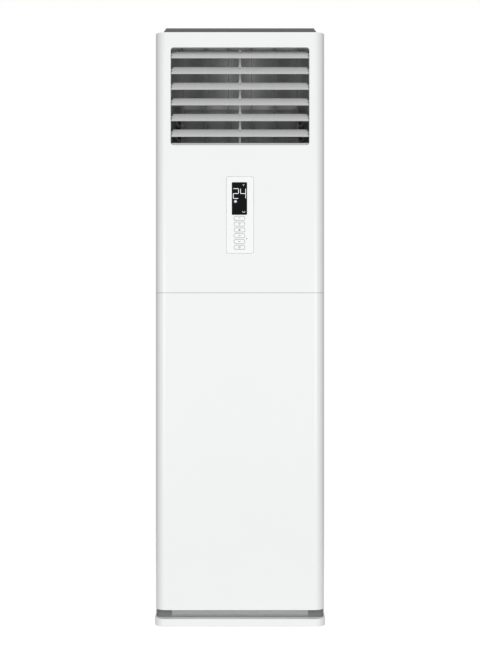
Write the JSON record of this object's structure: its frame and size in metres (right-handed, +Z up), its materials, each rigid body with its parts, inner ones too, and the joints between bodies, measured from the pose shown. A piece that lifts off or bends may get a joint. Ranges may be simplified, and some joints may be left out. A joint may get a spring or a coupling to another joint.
{
  "type": "floor standing air conditioner",
  "caption": "Tall white floor standing air conditioner cabinet with louvered outlet, control fascia with display, removable lower panel, plinth and dark cap.",
  "frame": {"origin": "centre of the plinth's footprint, on the floor", "axes": "+Z up, the front faces -Y, +X to the right as seen from the front"},
  "size_m": [0.498, 0.322, 1.75],
  "materials": {
    "white_plastic": "satin",
    "fascia_plastic": "satin",
    "louver_plastic": "satin",
    "duct_plastic": "matte",
    "cap_plastic": "matte",
    "display_black": "gloss",
    "white_steel": "satin",
    "toe_steel": "satin",
    "zinc_steel": "satin",
    "fin_aluminium": "satin",
    "copper_tube": "satin",
    "foam": "matte",
    "filter_mesh": "matte",
    "circuit_board": "satin",
    "hose_rubber": "matte"
  },
  "bodies": {
    "cabinet": {"base_plinth": "white_plastic", "chassis_frame": "toe_steel", "upper_front_panel": "white_plastic", "side_casing_left": "white_steel", "side_casing_right": "white_steel", "rear_panel": "white_steel", "cross_rail": "zinc_steel", "top_plate": "white_steel", "top_cap": "cap_plastic", "wall_bracket": "zinc_steel", "outlet_frame": "louver_plastic", "louver_motor": "zinc_steel", "vane_motor": "zinc_steel", "control_fascia": "fascia_plastic", "display_window": "display_black", "display_board": "circuit_board", "foam_liner": "foam", "mid_deck": "zinc_steel", "plenum_plate": "zinc_steel", "evaporator_fins": "fin_aluminium", "coil_end_plate_left": "copper_tube", "coil_end_plate_right": "copper_tube", "drain_pan": "duct_plastic", "suction_pipe": "copper_tube", "liquid_pipe": "copper_tube", "drain_hose": "hose_rubber", "blower_housing": "duct_plastic", "inlet_ring": "louver_plastic", "fan_motor": "zinc_steel", "electric_box": "zinc_steel", "electric_box_cover": "zinc_steel", "terminal_block": "duct_plastic"},
    "lower_panel": {"lower_front_panel": "white_plastic"},
    "intake_left": {"intake_grille_left": "white_plastic", "air_filter_left": "filter_mesh"},
    "intake_right": {"intake_grille_right": "white_plastic", "air_filter_right": "filter_mesh"},
    "fan": {"impeller": "louver_plastic", "motor_shaft": "fin_aluminium"},
    "louver_link": {"louver_link": "louver_plastic"},
    "vane_link": {"vane_link": "duct_plastic"},
    "louver_1": {"louver_1": "louver_plastic"},
    "vane_1": {"vane_1": "duct_plastic"},
    "button_1": {"button_1": "fascia_plastic"},
    "louver_2": {"louver_2": "louver_plastic"},
    "vane_2": {"vane_2": "duct_plastic"},
    "button_2": {"button_2": "fascia_plastic"},
    "louver_3": {"louver_3": "louver_plastic"},
    "vane_3": {"vane_3": "duct_plastic"},
    "button_3": {"button_3": "fascia_plastic"},
    "louver_4": {"louver_4": "louver_plastic"},
    "vane_4": {"vane_4": "duct_plastic"},
    "button_4": {"button_4": "fascia_plastic"},
    "louver_5": {"louver_5": "louver_plastic"},
    "vane_5": {"vane_5": "duct_plastic"},
    "button_5": {"button_5": "fascia_plastic"},
    "louver_6": {"louver_6": "louver_plastic"},
    "vane_6": {"vane_6": "duct_plastic"},
    "button_6": {"button_6": "fascia_plastic"}
  },
  "joints": [
    {"name": "louver_1_swing", "type": "hinge", "parent": "cabinet", "child": "louver_1", "pos_m": [0, -0.12691, 1.6692], "axis": [1, 0, 0], "range_deg": [-60, 20]},
    {"name": "louver_2_swing", "type": "hinge", "parent": "cabinet", "child": "louver_2", "pos_m": [0, -0.12691, 1.6234], "axis": [1, 0, 0], "range_deg": [-60, 20]},
    {"name": "louver_3_swing", "type": "hinge", "parent": "cabinet", "child": "louver_3", "pos_m": [0, -0.12691, 1.5776], "axis": [1, 0, 0], "range_deg": [-60, 20]},
    {"name": "louver_4_swing", "type": "hinge", "parent": "cabinet", "child": "louver_4", "pos_m": [0, -0.12691, 1.5318], "axis": [1, 0, 0], "range_deg": [-60, 20]},
    {"name": "louver_5_swing", "type": "hinge", "parent": "cabinet", "child": "louver_5", "pos_m": [0, -0.12691, 1.486], "axis": [1, 0, 0], "range_deg": [-60, 20]},
    {"name": "louver_6_swing", "type": "hinge", "parent": "cabinet", "child": "louver_6", "pos_m": [0, -0.12691, 1.4402], "axis": [1, 0, 0], "range_deg": [-60, 20]},
    {"name": "louver_link_swing", "type": "hinge", "parent": "louver_1", "child": "louver_link", "pos_m": [0, -0.11389, 1.68013], "axis": [1, 0, 0], "range_deg": [-20, 60]},
    {"name": "vane_1_swing", "type": "hinge", "parent": "cabinet", "child": "vane_1", "pos_m": [-0.17, -0.073, 1.535], "axis": [0, 0, 1], "range_deg": [-35, 35]},
    {"name": "vane_2_swing", "type": "hinge", "parent": "cabinet", "child": "vane_2", "pos_m": [-0.102, -0.073, 1.535], "axis": [0, 0, 1], "range_deg": [-35, 35]},
    {"name": "vane_3_swing", "type": "hinge", "parent": "cabinet", "child": "vane_3", "pos_m": [-0.034, -0.073, 1.535], "axis": [0, 0, 1], "range_deg": [-35, 35]},
    {"name": "vane_4_swing", "type": "hinge", "parent": "cabinet", "child": "vane_4", "pos_m": [0.034, -0.073, 1.535], "axis": [0, 0, 1], "range_deg": [-35, 35]},
    {"name": "vane_5_swing", "type": "hinge", "parent": "cabinet", "child": "vane_5", "pos_m": [0.102, -0.073, 1.535], "axis": [0, 0, 1], "range_deg": [-35, 35]},
    {"name": "vane_6_swing", "type": "hinge", "parent": "cabinet", "child": "vane_6", "pos_m": [0.17, -0.073, 1.535], "axis": [0, 0, 1], "range_deg": [-35, 35]},
    {"name": "vane_link_swing", "type": "hinge", "parent": "vane_1", "child": "vane_link", "pos_m": [-0.17, -0.093, 1.539], "axis": [0, 0, 1], "range_deg": [-35, 35]},
    {"name": "fan_spin", "type": "hinge", "parent": "cabinet", "child": "fan", "pos_m": [-0.03, 0.02, 0.29], "axis": [0, 1, 0], "continuous": true},
    {"name": "button_1_press", "type": "slide", "parent": "cabinet", "child": "button_1", "axis": [0, 1, 0], "range_m": [0, 0.0008], "stiffness_N_per_m": 1200, "springref_m": -0.0003},
    {"name": "button_2_press", "type": "slide", "parent": "cabinet", "child": "button_2", "axis": [0, 1, 0], "range_m": [0, 0.0008], "stiffness_N_per_m": 1200, "springref_m": -0.0003},
    {"name": "button_3_press", "type": "slide", "parent": "cabinet", "child": "button_3", "axis": [0, 1, 0], "range_m": [0, 0.0008], "stiffness_N_per_m": 1200, "springref_m": -0.0003},
    {"name": "button_4_press", "type": "slide", "parent": "cabinet", "child": "button_4", "axis": [0, 1, 0], "range_m": [0, 0.0008], "stiffness_N_per_m": 1200, "springref_m": -0.0003},
    {"name": "button_5_press", "type": "slide", "parent": "cabinet", "child": "button_5", "axis": [0, 1, 0], "range_m": [0, 0.0008], "stiffness_N_per_m": 1200, "springref_m": -0.0003},
    {"name": "button_6_press", "type": "slide", "parent": "cabinet", "child": "button_6", "axis": [0, 1, 0], "range_m": [0, 0.0008], "stiffness_N_per_m": 1200, "springref_m": -0.0003},
    {"name": "lower_panel_pull", "type": "slide", "parent": "cabinet", "child": "lower_panel", "axis": [0, -1, 0], "range_m": [0, 0.04]},
    {"name": "intake_left_pull", "type": "slide", "parent": "cabinet", "child": "intake_left", "axis": [-1, 0, 0], "range_m": [0, 0.03]},
    {"name": "intake_right_pull", "type": "slide", "parent": "cabinet", "child": "intake_right", "axis": [1, 0, 0], "range_m": [0, 0.03]}
  ],
  "couplings": [
    {"joint": "louver_2_swing", "follows": "louver_1_swing", "ratio": 1},
    {"joint": "louver_3_swing", "follows": "louver_1_swing", "ratio": 1},
    {"joint": "louver_4_swing", "follows": "louver_1_swing", "ratio": 1},
    {"joint": "louver_5_swing", "follows": "louver_1_swing", "ratio": 1},
    {"joint": "louver_6_swing", "follows": "louver_1_swing", "ratio": 1},
    {"joint": "louver_link_swing", "follows": "louver_1_swing", "ratio": -1},
    {"joint": "vane_2_swing", "follows": "vane_1_swing", "ratio": 1},
    {"joint": "vane_3_swing", "follows": "vane_1_swing", "ratio": 1},
    {"joint": "vane_4_swing", "follows": "vane_1_swing", "ratio": 1},
    {"joint": "vane_5_swing", "follows": "vane_1_swing", "ratio": 1},
    {"joint": "vane_6_swing", "follows": "vane_1_swing", "ratio": 1},
    {"joint": "vane_link_swing", "follows": "vane_1_swing", "ratio": -1}
  ]
}
